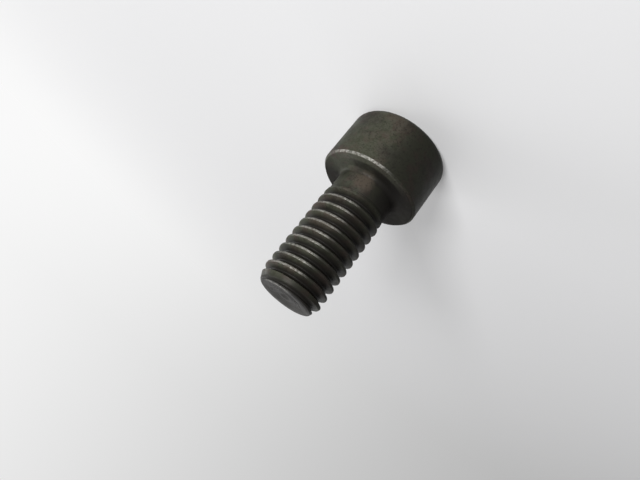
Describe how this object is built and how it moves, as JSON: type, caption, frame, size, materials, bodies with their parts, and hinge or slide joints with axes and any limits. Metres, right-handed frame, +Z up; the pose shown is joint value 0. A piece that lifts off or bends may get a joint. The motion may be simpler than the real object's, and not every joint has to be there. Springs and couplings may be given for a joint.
{
  "type": "suspension bolt",
  "caption": "Black socket-head cap screw with a short right-hand M8 thread and a 6 mm hexagon socket, standing on its head.",
  "frame": {"origin": "middle of the flat end of the head, on the ground", "axes": "+Z up along the screw's axis, from the head to the threaded end; the hexagon socket has two flats square to +Y"},
  "size_m": [0.0128, 0.0128, 0.024],
  "materials": {
    "black_steel": "satin black oxide on steel, worn bright along the thread crests and the rim under the head"
  },
  "bodies": {
    "root": {"cap_screw": "black_steel"}
  },
  "joints": []
}
